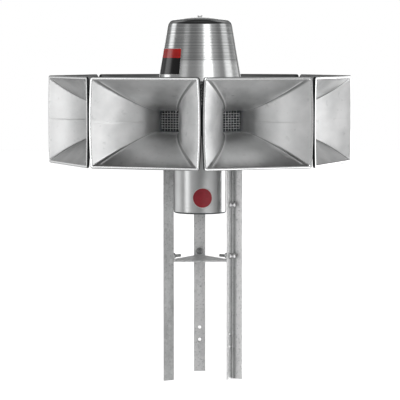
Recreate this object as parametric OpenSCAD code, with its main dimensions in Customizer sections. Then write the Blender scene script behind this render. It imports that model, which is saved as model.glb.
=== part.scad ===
// Civil defence siren: eight exponential horns round a chopper housing, a spun hood over the air
// intake, a vertical motor, and three angle legs that lap the top of a wooden pole.
// Millimetres, +Z up. The origin is the centre of the plate's underside, which sits on the pole.
// The seam between two horns faces -Y.

/* [Horns] */
// Height of the horn axes above the pole top
horn_z = 623; // [600:1:680]
// Distance from the siren axis to the mouth planes
mouth_reach = 618; // [612:1:660]
// Clear width of a mouth at its corners
mouth_w = 470; // [400:1:474]
// Clear height of a mouth
mouth_h = 362; // [300:1:400]
// Outward bow of the upright mouth sides
side_bow = 7; // [0:0.5:8]
// Clear width of a throat
throat_w = 117; // [100:1:122]
// Clear height of a throat
throat_h = 90; // [76:1:96]
// Length of the straight throat, flange included
throat_len = 77; // [60:1:90]
// Length of the flare
flare_len = 233; // [210:1:250]
// Length over which the throat eases into the flare
flare_ease = 24; // [12:1:36]
// Sheet thickness of a horn
horn_wall = 3.5; // [2.5:0.5:5]
// Width of the lip round a mouth
lip_w = 10; // [8:0.5:11]
// Depth of the lip
lip_t = 8; // [5:0.5:12]
// Length over which the sheet turns out to its flange and to its lip
step_run = 3; // [2:0.5:5]
// Gap along the seams at a horn's corners
seam_gap = 0.15; // [0.1:0.05:0.3]

/* [Throats] */
// Wall thickness of a duct
duct_wall = 4; // [3:0.5:5]
// Reach of the screen flanges beyond the throat
flange_w = 24; // [18:1:30]
// Thickness of the screen flanges
flange_t = 8; // [5:0.5:12]
// Reach of a duct's seat flange beyond its wall
seat_w = 10; // [7:0.5:12]
// Thickness of a screen
screen_t = 3; // [2:0.5:5]
// Rim of a screen that shows inside the throat
screen_rim = 3.5; // [2:0.5:6]
// Cut of the window corners
window_cut = 13; // [6:1:20]
// Spacing of the upright wires
wire_pitch_w = 12.7; // [10:0.1:20]
// Spacing of the level wires
wire_pitch_h = 10.6; // [9:0.1:20]
// Width of a wire
wire_w = 2; // [1.5:0.1:3]

/* [Chopper housing] */
// Width across the flats that the ducts seat on
housing_flats = 370; // [362:1:390]
// Height of the housing
housing_h = 134; // [126:1:150]
// Depth of the ports in the flats
port_depth = 60; // [30:1:80]
// Diameter of the top plate
top_plate_d = 392; // [380:1:400]
// Thickness of the top plate
top_plate_t = 10; // [6:1:16]
// Diameter of the air intake
intake_d = 260; // [200:1:276]
// Depth of the intake below the top plate
intake_depth = 40; // [20:1:60]
// Diameter of the base plate
base_plate_d = 412; // [402:1:430]
// Thickness of the base plate
base_plate_t = 10; // [6:1:16]
// Height of the base plate's leg tabs
leg_tab_h = 44; // [36:1:60]

/* [Hood] */
// Diameter of the rim
hood_rim_d = 364; // [356:1:376]
// Height from the rim to the crown
hood_h = 277.5; // [250:0.5:320]
// Taper of the wall in degrees
hood_taper = 9.4; // [6:0.1:12]
// Radius of the crown
crown_r = 560; // [480:5:700]
// Radius of the shoulder
shoulder_r = 25; // [18:0.5:36]
// Sheet thickness of the hood
hood_sheet = 2.5; // [1.5:0.1:4]
// Height of the intake gap under the hood's spider
intake_gap = 88; // [70:1:110]
// Thickness of the spider
spider_t = 4; // [3:0.5:8]
// Width of the spider's ring
spider_ring_w = 42; // [36:1:50]
// Width of a spider arm
spider_arm_w = 26; // [18:1:40]
// Diameter of the spider hub
spider_hub_d = 60; // [40:1:80]
// Diameter of a hood post
post_d = 12; // [8:0.5:16]
// Circle that the hood posts stand on
post_circle_d = 338; // [334:1:344]
// Diameter of the stud that holds the hood
stud_d = 8; // [6:0.5:10]
// Clearance of the stud in the crown
stud_fit = 0.5; // [0.3:0.1:1]
// Diameter of the wing nut's hub
wing_hub_d = 13; // [12:0.5:18]
// Height of the wing nut's hub
wing_hub_h = 4; // [3:0.5:6]
// Span over the two wings
wing_span = 22; // [20:0.5:30]
// Width of a wing
wing_w = 7; // [6:0.5:9]
// Height of the wings above the crown
wing_h = 7; // [6:0.5:12]
// Thickness of a wing
wing_t = 4; // [3:0.5:5]

/* [Intake guard] */
// Circle of the guard's bars
guard_circle_d = 298; // [290:1:306]
// Width of a guard bar
guard_bar_w = 4; // [3:0.5:6]
// Height of the guard's end rings
guard_ring_h = 6; // [4:0.5:10]
// Height of the guard's hoops
guard_hoop_h = 3; // [2:0.5:5]

/* [Motor] */
// Diameter of the motor shell
motor_d = 232; // [216:1:244]
// Length of the motor shell with its cover
motor_len = 336; // [310:1:380]
// Thickness of the shell
motor_sheet = 3; // [2:0.5:5]
// Thickness of the end cover
motor_cover_t = 6; // [4:0.5:10]

/* [Legs] */
// Distance between the axis and the inner faces, doubled
leg_circle_d = 296; // [288:1:304]
// Width of the angle's flanges
leg_w = 50.8; // [45:0.1:56]
// Thickness of the angle
leg_t = 4.8; // [4:0.1:8]
// Radius of the fillet in the angle's root
leg_root_r = 7; // [4:0.5:9]
// Radius of the toes of the angle's flanges
leg_toe_r = 3; // [1:0.5:3.5]
// Length of a leg below the pole top
leg_drop = 520; // [480:5:600]
// Diameter of the lag screw holes
lag_d = 14; // [10:0.5:16]
// Spacing of the two lag holes in a leg
lag_pitch = 56; // [40:1:70]
// Depth of the lag holes' midpoint below the pole top
lag_mid = 348; // [300:1:400]
// Diameter of the bolt holes
bolt_d = 13; // [11:0.5:14]
// Thickness of the spreader plate and of the tabs
spreader_t = 6; // [4:0.5:10]
// Width of a tab where it leaves its plate
tab_foot_w = 50; // [46:1:58]
// Width of a tab at its end
tab_end_w = 26; // [22:1:32]
// Height of the spreader's tabs above the pole top
spreader_tab_h = 46; // [42:1:60]
// Height of the spreader bolts above the pole top
spreader_bolt_z = 25; // [20:0.5:30]
// Height of the legs' middle bolts above the pole top
middle_bolt_z = 250; // [200:1:300]

/* [Hidden] */
horn_count = 8;
horn_step = 360 / horn_count;
upright_steps = 4;
level_steps = 1;
flare_steps = 13;
neck_end = flange_t - throat_len;
lip_start = flare_len - lip_t;
flare_start = mouth_reach - flare_len;
horn_back = flare_start - throat_len;
screen_back = horn_back - screen_t;
housing_face = housing_flats / 2;
duct_len = screen_back - housing_face;
flange_size = [throat_w + 2 * flange_w, throat_h + 2 * flange_w];
duct_size = [throat_w + 2 * duct_wall, throat_h + 2 * duct_wall];
seat_size = [duct_size.x + 2 * seat_w, duct_size.y + 2 * seat_w];
window_size = [throat_w - 2 * screen_rim, throat_h - 2 * screen_rim];
cells_w = ceil(window_size.x / wire_pitch_w / 2);
cells_h = ceil(window_size.y / wire_pitch_h / 2);
housing_bottom = horn_z - housing_h / 2;
housing_top = housing_bottom + housing_h;
base_z = housing_bottom - base_plate_t;
top_plate_top = housing_top + top_plate_t;
spider_z = top_plate_top + intake_gap;
rim_z = spider_z + spider_t;
crown_z = rim_z + hood_h;
rim_r = hood_rim_d / 2;
shoulder_steps = 10;
crown_steps = 8;
post_count = 4;
guard_bars = 24;
guard_hoops = 3;
stud_end = crown_z + wing_hub_h;
motor_bottom = base_z - motor_len;
leg_r = leg_circle_d / 2;
leg_turns = [-60, 60, 180];
leg_bolt_z = base_z - leg_tab_h / 2;
round_fn = 96;
bore_fn = 48;
over = 1;

// Places a piece that was drawn along -Y at one of the horns.
module at_horn(k) {
    rotate([0, 0, (k - 0.5) * horn_step]) children();
}

// Places a piece that was drawn along -Y at a leg.
module at_leg(turn) {
    rotate([0, 0, turn]) children();
}

// Extrudes a flat shape, drawn as width and height, outward from a distance in front of the axis.
module outward(from, length, z) {
    translate([0, -from, z]) rotate([90, 0, 0]) linear_extrude(length) children();
}

// The flare: an exponential that eases out of the straight throat.
function eased(u) = (u + sqrt(u * u + flare_ease * flare_ease)) / 2;
function eased_slope(u) = (1 + u / sqrt(u * u + flare_ease * flare_ease)) / 2;
growth_w = ln(mouth_w / throat_w) / eased(flare_len);
growth_h = ln(mouth_h / throat_h) / eased(flare_len);
function inner_w(u) = throat_w / 2 * exp(growth_w * eased(u));
function inner_h(u) = throat_h / 2 * exp(growth_h * eased(u));
function outer_w(u) =
    inner_w(u) + horn_wall * sqrt(1 + pow(growth_w * eased_slope(u) * inner_w(u), 2));
function outer_h(u) =
    inner_h(u) + horn_wall * sqrt(1 + pow(growth_h * eased_slope(u) * inner_h(u), 2));
function bow(u) = side_bow * pow(max(u, 0) / flare_len, 2);

// Half sizes inside and outside a horn, where the outside steps out to its flange and its lip.
function inside(u) = [inner_w(u), inner_h(u)];
function outside(u) = u <= neck_end ? flange_size / 2
    : u >= lip_start ? [mouth_w / 2 + lip_w, mouth_h / 2 + lip_w] : [outer_w(u), outer_h(u)];
function outside_bow(u) = u >= lip_start ? side_bow : bow(u);
horn_stations = concat([-throat_len, neck_end],
    [for (i = [0 : flare_steps]) neck_end + step_run
        + (lip_start - neck_end - 2 * step_run) * i / flare_steps],
    [lip_start, flare_len]);

// A point of a sheet: t runs from one mitred edge to the other. An upright sheet is bowed.
function upright_point(half, q, y, t) = [half.x + q * (1 - t * t), y, t * (half.y - seam_gap)];
function level_point(half, y, t) = [-t * (half.x - seam_gap), y, half.y];
function sheet_pair(u, t, upright) = let (y = -(flare_start + u)) upright
    ? [upright_point(inside(u), bow(u), y, t), upright_point(outside(u), outside_bow(u), y, t)]
    : [level_point(inside(u), y, t), level_point(outside(u), y, t)];

// The corner of a sheet's grid at station i, step j across, and skin k, inside or outside.
function corner(i, j, k, steps) = 2 * (i * (steps + 1) + j) + k;

// One of a horn's four sheets, lofted from its flange to its lip, with mitred edges.
module horn_sheet(upright) {
    steps = upright ? upright_steps : level_steps;
    last = len(horn_stations) - 1;
    points = [for (u = horn_stations) for (j = [0 : steps])
        each sheet_pair(u, 2 * j / steps - 1, upright)];
    skins = [for (i = [0 : last - 1]) for (j = [0 : steps - 1]) each [
        [corner(i, j, 0, steps), corner(i, j + 1, 0, steps),
            corner(i + 1, j + 1, 0, steps), corner(i + 1, j, 0, steps)],
        [corner(i, j, 1, steps), corner(i + 1, j, 1, steps),
            corner(i + 1, j + 1, 1, steps), corner(i, j + 1, 1, steps)]]];
    ends = [for (j = [0 : steps - 1]) each [
        [corner(0, j, 0, steps), corner(0, j, 1, steps),
            corner(0, j + 1, 1, steps), corner(0, j + 1, 0, steps)],
        [corner(last, j, 0, steps), corner(last, j + 1, 0, steps),
            corner(last, j + 1, 1, steps), corner(last, j, 1, steps)]]];
    mitres = [for (i = [0 : last - 1]) each [
        [corner(i, 0, 0, steps), corner(i + 1, 0, 0, steps),
            corner(i + 1, 0, 1, steps), corner(i, 0, 1, steps)],
        [corner(i, steps, 0, steps), corner(i, steps, 1, steps),
            corner(i + 1, steps, 1, steps), corner(i + 1, steps, 0, steps)]]];
    faces = [for (q = concat(skins, ends, mitres)) each [[q[0], q[1], q[2]], [q[0], q[2], q[3]]]];
    polyhedron(points, faces, convexity = 6);
}

// A horn: two upright and two level sheets, seamed along its four corners.
module horn(k) {
    color("#c4c7c8") at_horn(k) translate([0, 0, horn_z])
        for (turn = [0, 180], upright = [true, false]) rotate([0, turn, 0]) horn_sheet(upright);
}

module window() {
    w = window_size.x / 2;
    h = window_size.y / 2;
    polygon([[w - window_cut, -h], [w, -h + window_cut], [w, h - window_cut],
        [w - window_cut, h], [window_cut - w, h], [-w, h - window_cut],
        [-w, -h + window_cut], [window_cut - w, -h]]);
}

// A wire screen in a flat frame, held between the flange of a duct and that of its horn.
module throat_screen(k) {
    color("#4a4d4f") at_horn(k) outward(screen_back, screen_t, horn_z) difference() {
        square(flange_size, center = true);
        intersection() {
            window();
            for (i = [-cells_w : cells_w - 1], j = [-cells_h : cells_h - 1])
                translate([i * wire_pitch_w + wire_w / 2, j * wire_pitch_h + wire_w / 2])
                    square([wire_pitch_w - wire_w, wire_pitch_h - wire_w]);
        }
    }
}

// The passage from a port to a screen, flanged at both ends.
module duct(k) {
    color("#8f9394") at_horn(k) difference() {
        union() {
            outward(housing_face, duct_len, horn_z) square(duct_size, center = true);
            outward(housing_face, flange_t, horn_z) square(seat_size, center = true);
            outward(screen_back - flange_t, flange_t, horn_z) square(flange_size, center = true);
        }
        outward(housing_face - over, duct_len + 2 * over, horn_z)
            square([throat_w, throat_h], center = true);
    }
}

// The cast housing of the chopper, with a port in each flat and the intake in its top.
module chopper_housing() {
    color("#6d7072") difference() {
        translate([0, 0, housing_bottom])
            cylinder(r = housing_face / cos(horn_step / 2), h = housing_h, $fn = horn_count);
        for (k = [1 : horn_count])
            at_horn(k) outward(housing_face - port_depth, port_depth + over, horn_z)
                square([throat_w, throat_h], center = true);
        translate([0, 0, housing_top - intake_depth])
            cylinder(d = intake_d, h = intake_depth + over, $fn = round_fn);
    }
}

module top_plate() {
    color("#7d8183") translate([0, 0, housing_top]) difference() {
        cylinder(d = top_plate_d, h = top_plate_t, $fn = round_fn);
        translate([0, 0, -over]) cylinder(d = intake_d, h = top_plate_t + 2 * over, $fn = round_fn);
    }
}

// A tab that narrows to its end, with a root inside the plate that it leaves.
module tab_outline(root, height) {
    polygon([[-tab_foot_w / 2, -root], [tab_foot_w / 2, -root], [tab_foot_w / 2, 0],
        [tab_end_w / 2, height], [-tab_end_w / 2, height], [-tab_foot_w / 2, 0]]);
}

module bolt_bore(d, z) {
    translate([0, -leg_r - leg_w / 2, z]) rotate([-90, 0, 0])
        cylinder(d = d, h = leg_w, $fn = bore_fn);
}

// The plate under the housing, with a tab turned down inside each leg.
module base_plate() {
    color("#8b8f90") difference() {
        union() {
            translate([0, 0, base_z]) cylinder(d = base_plate_d, h = base_plate_t, $fn = round_fn);
            for (turn = leg_turns) at_leg(turn) outward(leg_r - spreader_t, spreader_t, base_z)
                mirror([0, 1]) tab_outline(base_plate_t / 2, leg_tab_h);
        }
        for (turn = leg_turns) at_leg(turn) bolt_bore(bolt_d, leg_bolt_z);
    }
}

// Centre of the shoulder arc: a shoulder's radius inside both the wall and the crown.
shoulder_on = [rim_r - shoulder_r * cos(hood_taper), -shoulder_r * sin(hood_taper)];
shoulder_run = [-sin(hood_taper), cos(hood_taper)];
crown_centre = [0, hood_h - crown_r];
from_crown = shoulder_on - crown_centre;
along = from_crown * shoulder_run;
shoulder_at = shoulder_on + shoulder_run * (sqrt(along * along - from_crown * from_crown
    + pow(crown_r - shoulder_r, 2)) - along);
crown_half = asin(shoulder_at.x / (crown_r - shoulder_r));

// The hood's profile, a sheet's share inward of its outer face.
function hood_profile(inset) = concat(
    [[rim_r - inset / cos(hood_taper), 0]],
    [for (i = [0 : shoulder_steps])
        let (a = hood_taper + (90 - crown_half - hood_taper) * i / shoulder_steps)
        shoulder_at + (shoulder_r - inset) * [cos(a), sin(a)]],
    [for (i = [1 : crown_steps])
        let (a = crown_half * (1 - i / crown_steps))
        crown_centre + (crown_r - inset) * [sin(a), cos(a)]]);
function backward(list) = [for (i = [len(list) - 1 : -1 : 0]) list[i]];

module hood() {
    color("#d3d5d5") translate([0, 0, rim_z]) difference() {
        rotate_extrude($fn = round_fn)
            polygon(concat(hood_profile(0), backward(hood_profile(hood_sheet))));
        translate([0, 0, hood_h - shoulder_r])
            cylinder(d = stud_d + 2 * stud_fit, h = 2 * shoulder_r, $fn = bore_fn);
    }
}

// The ring under the hood's rim, with arms to the stud in its middle.
module hood_spider() {
    color("#9a9d9e") translate([0, 0, spider_z]) linear_extrude(spider_t) {
        difference() {
            circle(d = hood_rim_d, $fn = round_fn);
            circle(r = rim_r - spider_ring_w, $fn = round_fn);
        }
        difference() {
            for (a = [0, 90]) rotate([0, 0, a])
                square([hood_rim_d - spider_ring_w, spider_arm_w], center = true);
            circle(d = spider_hub_d - over, $fn = round_fn);
        }
        circle(d = spider_hub_d, $fn = round_fn);
    }
}

module hood_stud() {
    color("#b4b6b7") translate([0, 0, rim_z])
        cylinder(d = stud_d, h = stud_end - rim_z, $fn = bore_fn);
}

module hood_wing_nut() {
    color("#b4b6b7") translate([0, 0, crown_z]) difference() {
        union() {
            cylinder(d = wing_hub_d, h = wing_hub_h, $fn = bore_fn);
            for (side = [-1, 1])
                translate([side * (wing_span - wing_w) / 2, 0, wing_h / 2])
                    cube([wing_w, wing_t, wing_h], center = true);
        }
        translate([0, 0, -over]) cylinder(d = stud_d, h = wing_h + 2 * over, $fn = bore_fn);
    }
}

module hood_post(k) {
    color("#b4b6b7") rotate([0, 0, k * 360 / post_count])
        translate([0, -post_circle_d / 2, top_plate_top])
            cylinder(d = post_d, h = intake_gap, $fn = bore_fn);
}

module guard_hoop(h) {
    linear_extrude(h) difference() {
        circle(d = guard_circle_d + 2 * guard_bar_w, $fn = round_fn);
        circle(d = guard_circle_d, $fn = round_fn);
    }
}

// A bird guard of upright bars and level hoops round the intake.
module intake_guard() {
    color("#56595b") translate([0, 0, top_plate_top]) {
        for (z = [0, intake_gap - guard_ring_h]) translate([0, 0, z]) guard_hoop(guard_ring_h);
        for (i = [1 : guard_hoops])
            translate([0, 0, (intake_gap - guard_hoop_h) * i / (guard_hoops + 1)]) guard_hoop(guard_hoop_h);
        linear_extrude(intake_gap) for (i = [0 : guard_bars - 1])
            rotate([0, 0, (i + 0.5) * 360 / guard_bars])
                translate([guard_circle_d / 2 + guard_bar_w / 2, 0]) square(guard_bar_w, center = true);
    }
}

module motor_shell() {
    color("#c9cbcb") translate([0, 0, motor_bottom + motor_cover_t]) difference() {
        cylinder(d = motor_d, h = motor_len - motor_cover_t, $fn = round_fn);
        translate([0, 0, -over])
            cylinder(d = motor_d - 2 * motor_sheet, h = motor_len + 2 * over, $fn = round_fn);
    }
}

module motor_end_cover() {
    color("#707375") translate([0, 0, motor_bottom])
        cylinder(d1 = motor_d - motor_cover_t, d2 = motor_d, h = motor_cover_t, $fn = round_fn);
}

// What rounding an outer corner takes away.
module corner_cut(r) {
    difference() {
        square(r + over);
        circle(r = r, $fn = bore_fn);
    }
}

// A rolled angle's section from its outer corner, with a fillet in its root and rounded toes.
module angle_section() {
    root = leg_t + leg_root_r;
    difference() {
        square(leg_w);
        translate([root, leg_t]) square(leg_w);
        translate([leg_t, root]) square(leg_w);
        translate([root, root]) circle(r = leg_root_r, $fn = bore_fn);
        translate([leg_w - leg_toe_r, leg_t - leg_toe_r]) corner_cut(leg_toe_r);
        translate([leg_t - leg_toe_r, leg_w - leg_toe_r]) corner_cut(leg_toe_r);
    }
}

// An angle with one flange against the pole and the other standing out from it.
module leg(turn) {
    color("#a3a7a9") at_leg(turn) difference() {
        translate([leg_w / 2, -leg_r, -leg_drop]) rotate([0, 0, 180])
            linear_extrude(base_z + leg_drop) angle_section();
        for (z = [spreader_bolt_z, middle_bolt_z, leg_bolt_z]) bolt_bore(bolt_d, z);
        for (side = [-1, 1]) bolt_bore(lag_d, side * lag_pitch / 2 - lag_mid);
    }
}

// The plate that sits on the pole and ties the legs, with a tab turned up inside each leg.
module spreader_plate() {
    color("#9da1a2") difference() {
        union() {
            linear_extrude(spreader_t) polygon([for (turn = leg_turns) for (side = [-1, 1])
                let (x = side * (tab_foot_w - spreader_t) / 2, y = spreader_t / 2 - leg_r)
                [x * cos(turn) - y * sin(turn), x * sin(turn) + y * cos(turn)]]);
            for (turn = leg_turns) at_leg(turn) outward(leg_r - spreader_t, spreader_t, spreader_t)
                tab_outline(spreader_t, spreader_tab_h - spreader_t);
        }
        for (turn = leg_turns) at_leg(turn) bolt_bore(bolt_d, spreader_bolt_z);
    }
}

hood();
hood_wing_nut();
hood_stud();
hood_spider();
hood_post(0);  // hood_post_front
hood_post(1);  // hood_post_right
hood_post(2);  // hood_post_back
hood_post(3);  // hood_post_left
intake_guard();
top_plate();
chopper_housing();
base_plate();
duct(1);  // duct_1
duct(2);  // duct_2
duct(3);  // duct_3
duct(4);  // duct_4
duct(5);  // duct_5
duct(6);  // duct_6
duct(7);  // duct_7
duct(8);  // duct_8
throat_screen(1);  // throat_screen_1
throat_screen(2);  // throat_screen_2
throat_screen(3);  // throat_screen_3
throat_screen(4);  // throat_screen_4
throat_screen(5);  // throat_screen_5
throat_screen(6);  // throat_screen_6
throat_screen(7);  // throat_screen_7
throat_screen(8);  // throat_screen_8
horn(1);  // horn_1
horn(2);  // horn_2
horn(3);  // horn_3
horn(4);  // horn_4
horn(5);  // horn_5
horn(6);  // horn_6
horn(7);  // horn_7
horn(8);  // horn_8
motor_shell();
motor_end_cover();
leg(leg_turns[2]);  // leg_back
leg(leg_turns[0]);  // leg_left
leg(leg_turns[1]);  // leg_right
spreader_plate();
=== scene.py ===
import math

import bmesh
import bpy
import numpy as np
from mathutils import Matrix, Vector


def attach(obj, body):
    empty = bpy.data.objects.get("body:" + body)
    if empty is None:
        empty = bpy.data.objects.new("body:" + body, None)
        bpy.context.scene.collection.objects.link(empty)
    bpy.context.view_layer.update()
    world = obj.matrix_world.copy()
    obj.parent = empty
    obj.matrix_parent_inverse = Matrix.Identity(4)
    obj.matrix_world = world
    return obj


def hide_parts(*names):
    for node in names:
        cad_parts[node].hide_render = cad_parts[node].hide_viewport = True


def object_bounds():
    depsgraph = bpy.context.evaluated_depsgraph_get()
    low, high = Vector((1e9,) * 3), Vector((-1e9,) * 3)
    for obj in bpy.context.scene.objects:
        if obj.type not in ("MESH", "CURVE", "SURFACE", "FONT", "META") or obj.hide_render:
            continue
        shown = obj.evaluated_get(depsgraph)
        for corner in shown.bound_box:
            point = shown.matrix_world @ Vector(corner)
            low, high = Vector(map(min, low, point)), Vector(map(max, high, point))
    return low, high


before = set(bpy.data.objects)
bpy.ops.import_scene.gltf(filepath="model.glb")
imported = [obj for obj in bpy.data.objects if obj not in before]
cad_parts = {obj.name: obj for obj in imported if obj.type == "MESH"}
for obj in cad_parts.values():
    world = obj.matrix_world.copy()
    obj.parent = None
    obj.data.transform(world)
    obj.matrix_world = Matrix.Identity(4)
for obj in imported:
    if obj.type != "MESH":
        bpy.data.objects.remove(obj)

cad_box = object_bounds()
MM = 0.001

# Sizes of the solids that the new pieces follow, in millimetres
HORN_COUNT = 8
HORN_TURN = 360 / HORN_COUNT
HORN_Z = 623.0
MOUTH_REACH = 618.0
MOUTH_W, MOUTH_H = 470.0, 362.0
SIDE_BOW = 7.0
THROAT_W, THROAT_H, THROAT_LEN = 117.0, 90.0, 77.0
FLARE_LEN, FLARE_EASE = 233.0, 24.0
FLARE_START = MOUTH_REACH - FLARE_LEN
HORN_BACK = FLARE_START - THROAT_LEN
HORN_WALL = 3.5
FLANGE_W, FLANGE_T = 24.0, 8.0
SCREEN_T, SCREEN_RIM, WINDOW_CUT = 3.0, 3.5, 13.0
SCREEN_BACK = HORN_BACK - SCREEN_T
WIRE_PITCH_W, WIRE_PITCH_H = 12.7, 10.6
TOP_PLATE_TOP, INTAKE_GAP = 700.0, 88.0
POST_CIRCLE, POST_D = 169.0, 12.0
GUARD_CIRCLE, GUARD_BAR_D, GUARD_BARS = 151.0, 4.0, 24
HOOD_RIM_R, HOOD_RIM_Z, HOOD_H = 182.0, 792.0, 277.5
HOOD_TAPER = math.radians(9.4)
CROWN_R, SHOULDER_R, HOOD_SHEET = 560.0, 25.0, 2.5
STUD_HOLE_R = 4.5
MOTOR_R, MOTOR_SHEET = 116.0, 3.0
MOTOR_BOTTOM, SHELL_BOTTOM, SHELL_TOP = 210.0, 216.0, 546.0
LEG_TURNS = {"back": 180, "left": -60, "right": 60}
LEG_IN, LEG_OUT, LEG_ROOT_X = 148.0, 152.8, 20.6
TAB_IN = 142.0
SPREADER_BOLT_Z, MIDDLE_BOLT_Z, BASE_BOLT_Z = 25.0, 250.0, 524.0

WELD = 0.001
SHARP_ANGLE = math.radians(35)
FLAT_ANGLE = math.radians(0.5)


# Shells: arrays of points in millimetres and the corner numbers of their faces

def grid_faces(rows, cols, round_rows=False, round_cols=False):
    """Corner numbers of the faces of a grid. A round way runs from its last line back to its first."""
    i = np.arange(rows if round_rows else rows - 1)[:, None]
    j = np.arange(cols if round_cols else cols - 1)[None, :]
    i_next, j_next = (i + 1) % rows, (j + 1) % cols
    corners = [i * cols + j, i * cols + j_next, i_next * cols + j_next, i_next * cols + j]
    return np.stack(corners, axis=-1).reshape(-1, 4)


def joined(shells):
    """Many shells as one: each one's faces count on from the points before it."""
    starts = np.cumsum([0] + [len(points) for points, _ in shells[:-1]])
    return (np.concatenate([points for points, _ in shells]),
            np.concatenate([faces + start for (_, faces), start in zip(shells, starts)]))


def turned(shell, degrees):
    """A shell turned about the upright axis."""
    points, faces = shell
    c, s = math.cos(math.radians(degrees)), math.sin(math.radians(degrees))
    return points @ np.array([[c, s, 0], [-s, c, 0], [0, 0, 1]]), faces


def shifted(shell, x=0.0, y=0.0, z=0.0):
    """A shell moved by a distance along each axis."""
    points, faces = shell
    return points + np.array([x, y, z]), faces


def outward(shell, distance, height, turn):
    """A shell drawn flat, as width, height and depth, stood up so that its depth points away from the
    axis, at a distance from it, and turned to its side of the siren."""
    points, faces = shell
    x, y, z = points.T
    return turned((np.stack([x, -(z + distance), y + height], axis=-1), faces), turn)


def ringed(rows, angle):
    """Rows of radius and height carried round the upright axis, as a closed outline. A row's radius may
    differ with the angle."""
    points = np.stack([np.stack([r * np.cos(angle), r * np.sin(angle), 0 * angle + z], axis=-1)
                       for r, z in rows])
    return points.reshape(-1, 3), grid_faces(len(rows), len(angle), True, True)


def revolved(profile, sides, hollow=False):
    """A profile of radius and height carried round the upright axis. A hollow one is a closed outline."""
    radius, height = np.asarray(profile, float).T
    angle = 2 * np.pi * np.arange(sides) / sides
    points = np.stack([radius[:, None] * np.cos(angle), radius[:, None] * np.sin(angle),
                       height[:, None] + 0 * angle], axis=-1)
    return points.reshape(-1, 3), grid_faces(len(radius), sides, hollow, True)


def arc(centre, radius, start, end, steps):
    """Points on a circle from one angle to another, in degrees, as radius and height."""
    angle = np.radians(np.linspace(start, end, steps + 1))
    return np.asarray(centre) + radius * np.stack([np.cos(angle), np.sin(angle)], axis=-1)


def rods(paths, diameter, sides, across, depth):
    """Round rods along many paths at once: at each path point stands a circle spanned by two directions,
    and each end is closed at its middle."""
    angle = 2 * np.pi * np.arange(sides) / sides
    ring = diameter / 2 * (np.cos(angle)[:, None] * across + np.sin(angle)[:, None] * depth)
    first, last = [np.repeat(end[:, :, None], sides, axis=2) for end in (paths[:, :1], paths[:, -1:])]
    closed = np.concatenate([first, paths[:, :, None, :] + ring, last], axis=1)
    count, rows = closed.shape[:2]
    starts = np.arange(count)[:, None, None] * rows * sides
    return closed.reshape(-1, 3), (grid_faces(rows, sides, False, True)[None] + starts).reshape(-1, 4)


def closed_slab(skins):
    """Two like grids closed round their edges: the outline of each row runs out on one and back on the
    other, with the end rows drawn together."""
    loop = np.concatenate([skins[0], skins[1][:, ::-1]], axis=1)
    middle = (skins[0] + skins[1]) / 2
    ends = [np.concatenate([middle[i], middle[i, ::-1]])[None] for i in (0, -1)]
    points = np.concatenate([ends[0], loop, ends[1]])
    return points.reshape(-1, 3), grid_faces(*points.shape[:2], False, True)


# Pieces: a shell becomes an object of the frame

def dressed(piece, material, stands_for):
    """Shades a piece, gives it its material, and seats it on the frame."""
    piece.data.shade_smooth()
    piece.data.set_sharp_from_angle(angle=SHARP_ANGLE)
    piece.data.materials.clear()
    piece.data.materials.append(material)
    bpy.context.scene.collection.objects.link(piece)
    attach(piece, "root")
    if stands_for:
        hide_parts(stands_for)
    return piece


def cleaned(mesh, flat_join=None):
    """Welds a mesh's doubled points. A solid's flat faces are joined, a shell's faces turned outward."""
    work = bmesh.new()
    work.from_mesh(mesh)
    bmesh.ops.remove_doubles(work, verts=work.verts, dist=WELD * MM)
    if flat_join:
        bmesh.ops.dissolve_limit(work, angle_limit=flat_join, verts=work.verts, edges=work.edges)
    else:
        bmesh.ops.recalc_face_normals(work, faces=work.faces)
    work.to_mesh(mesh)
    work.free()


def made(name, shell, material, slot=None, stands_for=None, **shares):
    """A new piece from a shell. Shares are amounts at its points that the material reads by their name."""
    points, faces = shell
    mesh = bpy.data.meshes.new(name)
    mesh.from_pydata((points * MM).tolist(), [], faces.tolist())
    for key, amount in shares.items():
        mesh.attributes.new(key, "FLOAT", "POINT").data.foreach_set("value", amount.astype(np.float32))
    cleaned(mesh)
    return dressed(bpy.data.objects.new(name, mesh), material, stands_for)


def softened(node, ease, material):
    """A copy of a solid with its corners eased by a small rounding, which stands for that solid."""
    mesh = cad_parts[node].data.copy()
    cleaned(mesh, flat_join=FLAT_ANGLE)
    piece = dressed(bpy.data.objects.new(node + "_eased", mesh), material, node)
    bevel = piece.modifiers.new("eased corners", "BEVEL")
    bevel.width = ease * MM
    bevel.segments = 2
    bevel.limit_method = "ANGLE"
    bevel.angle_limit = SHARP_ANGLE
    bevel.harden_normals = True
    return piece


# Materials

# Most of a noise lies between these two shares
NOISE_LOW, NOISE_HIGH = 0.3, 0.7


def linear(code):
    """An sRGB hex colour as linear red, green, blue and a full alpha."""
    share = np.array([int(code[i:i + 2], 16) for i in (1, 3, 5)]) / 255
    bright = np.where(share <= 0.04045, share / 12.92, ((share + 0.055) / 1.055) ** 2.4)
    return (*bright.tolist(), 1.0)


def add(tree, kind, fill=(), out=0, stops=(), **settings):
    """Adds a node, sets its properties, fills its inputs, by name or in order, with values, hex colours or
    links, sets a ramp's stops of place and colour, and gives the output asked for."""
    fresh = tree.nodes.new("ShaderNode" + kind)
    for key, value in settings.items():
        setattr(fresh, key, value)
    for key, value in fill.items() if isinstance(fill, dict) else enumerate(fill):
        if isinstance(value, bpy.types.NodeSocket):
            tree.links.new(value, fresh.inputs[key])
        else:
            fresh.inputs[key].default_value = linear(value) if isinstance(value, str) else value
    for _ in stops[2:]:
        fresh.color_ramp.elements.new(0.5)
    for i, (place, colour) in enumerate(stops):
        fresh.color_ramp.elements[i].position = place
        fresh.color_ramp.elements[i].color = linear(colour) if isinstance(colour, str) else colour
    return fresh.outputs[out]


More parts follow.
